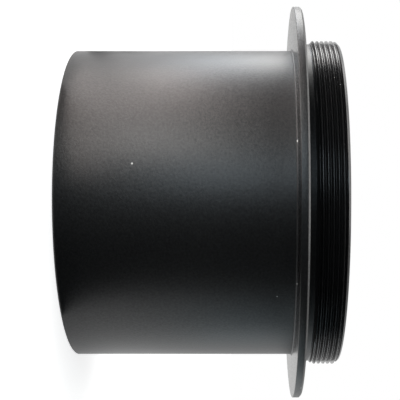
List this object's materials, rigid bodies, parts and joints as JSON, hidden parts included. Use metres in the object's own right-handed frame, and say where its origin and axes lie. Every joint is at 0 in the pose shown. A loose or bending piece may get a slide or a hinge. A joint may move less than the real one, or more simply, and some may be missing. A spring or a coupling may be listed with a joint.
{
  "type": "telescope nosepiece adapter",
  "caption": "Telescope nosepiece adapter: a smooth round barrel with a thin stop flange and a short male camera thread on one optical axis, in satin black anodised metal.",
  "frame": {"origin": "centre of the nose end face, on the optical axis", "axes": "+Z along the optical axis from the nose end towards the camera thread; X and Y are equivalent across the axis"},
  "size_m": [0.065, 0.065, 0.0429],
  "materials": {
    "barrel_black_anodise": "satin black anodise over a fine bead-blasted surface",
    "ring_black_anodise": "satin black anodise over a fine bead-blasted surface"
  },
  "bodies": {
    "root": {"nosepiece_barrel": "barrel_black_anodise", "flange_thread_ring": "ring_black_anodise"}
  },
  "joints": []
}
